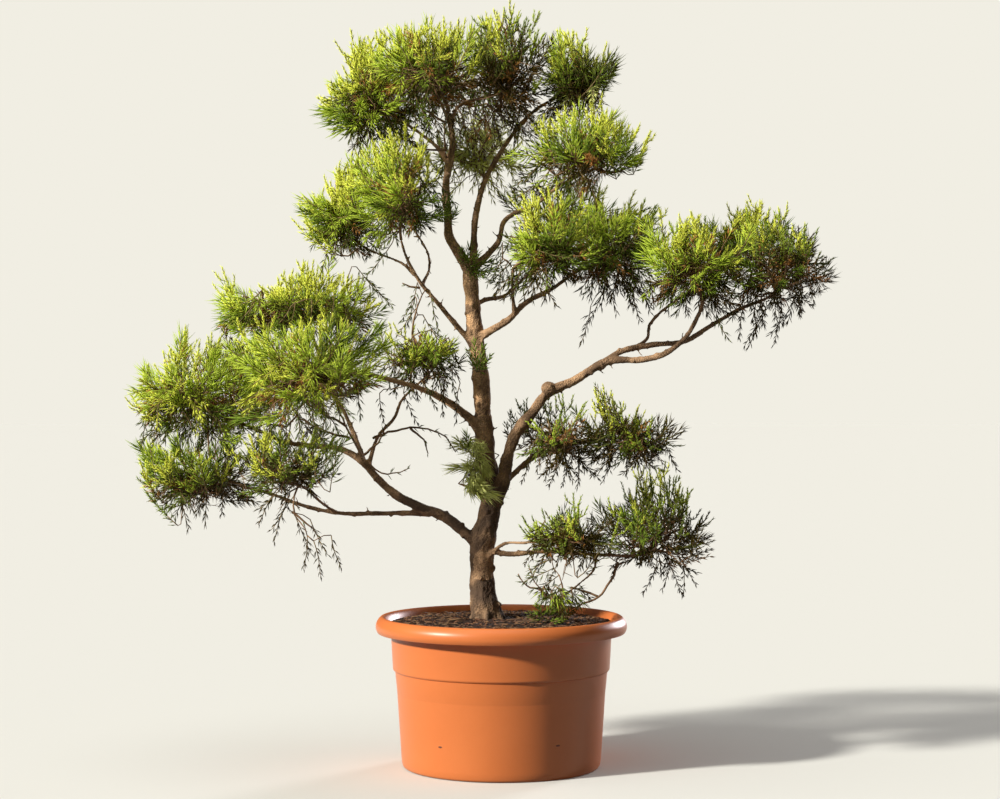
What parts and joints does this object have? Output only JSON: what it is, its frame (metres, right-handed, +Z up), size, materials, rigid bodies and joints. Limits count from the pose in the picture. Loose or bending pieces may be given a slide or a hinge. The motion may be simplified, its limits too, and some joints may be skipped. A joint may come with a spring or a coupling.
{
  "type": "virginia pine bonsai",
  "caption": "Tall trained pine with open tiers of needle foliage on bare, bent boughs, standing in a round stepped pot with a rolled rim.",
  "frame": {"origin": "middle of the pot's flat underside", "axes": "+Z up; -Y is the side that the plant is trained to show; +X is to the right of a viewer who looks along +Y"},
  "size_m": [1.3841, 0.672, 1.5073],
  "materials": {
    "pot": "satin terracotta-coloured plastic",
    "soil": "damp brown potting mix with bark chips",
    "bark": "rough, flaky pine bark, tan in light and dark brown in shade",
    "needles": "satin yellow-green needles"
  },
  "bodies": {
    "root": {"bough_back_left": "bark", "bough_back_right": "bark", "bough_big_right": "bark", "bough_big_right_back": "bark", "bough_big_right_upper": "bark", "bough_low_left": "bark", "bough_low_left_right": "bark", "bough_low_left_side": "bark", "bough_low_left_side_up": "bark", "bough_low_left_up": "bark", "bough_low_right": "bark", "bough_low_right_loop": "bark", "bough_low_right_side": "bark", "bough_mid_left": "bark", "bough_mid_right": "bark", "bough_mid_right_side": "bark", "bough_upper_left": "bark", "bough_upper_left_back": "bark", "bough_upper_left_side": "bark", "bough_upper_right": "bark", "bough_upper_right_fork": "bark", "foliage_crown_back": "needles", "foliage_crown_left": "needles", "foliage_crown_low": "needles", "foliage_crown_right": "needles", "foliage_crown_top": "needles", "foliage_far_right": "needles", "foliage_far_right_back": "needles", "foliage_far_right_front": "needles", "foliage_left_back": "needles", "foliage_left_far": "needles", "foliage_left_front": "needles", "foliage_left_inner": "needles", "foliage_left_low": "needles", "foliage_left_low_front": "needles", "foliage_left_top": "needles", "foliage_low_right": "needles", "foliage_low_right_far": "needles", "foliage_low_right_hanging": "needles", "foliage_mid_right": "needles", "foliage_mid_right_far": "needles", "foliage_right": "needles", "foliage_right_back": "needles", "foliage_right_far": "needles", "foliage_top_right": "needles", "foliage_trunk_hanging": "needles", "foliage_upper_left": "needles", "foliage_upper_left_back": "needles", "foliage_upper_left_far": "needles", "foliage_upper_right": "needles", "leader_back": "bark", "leader_left": "bark", "leader_left_branch": "bark", "leader_left_side": "bark", "leader_middle": "bark", "leader_middle_back": "bark", "leader_right": "bark", "pot": "pot", "soil": "soil", "trunk": "bark"}
  },
  "joints": []
}
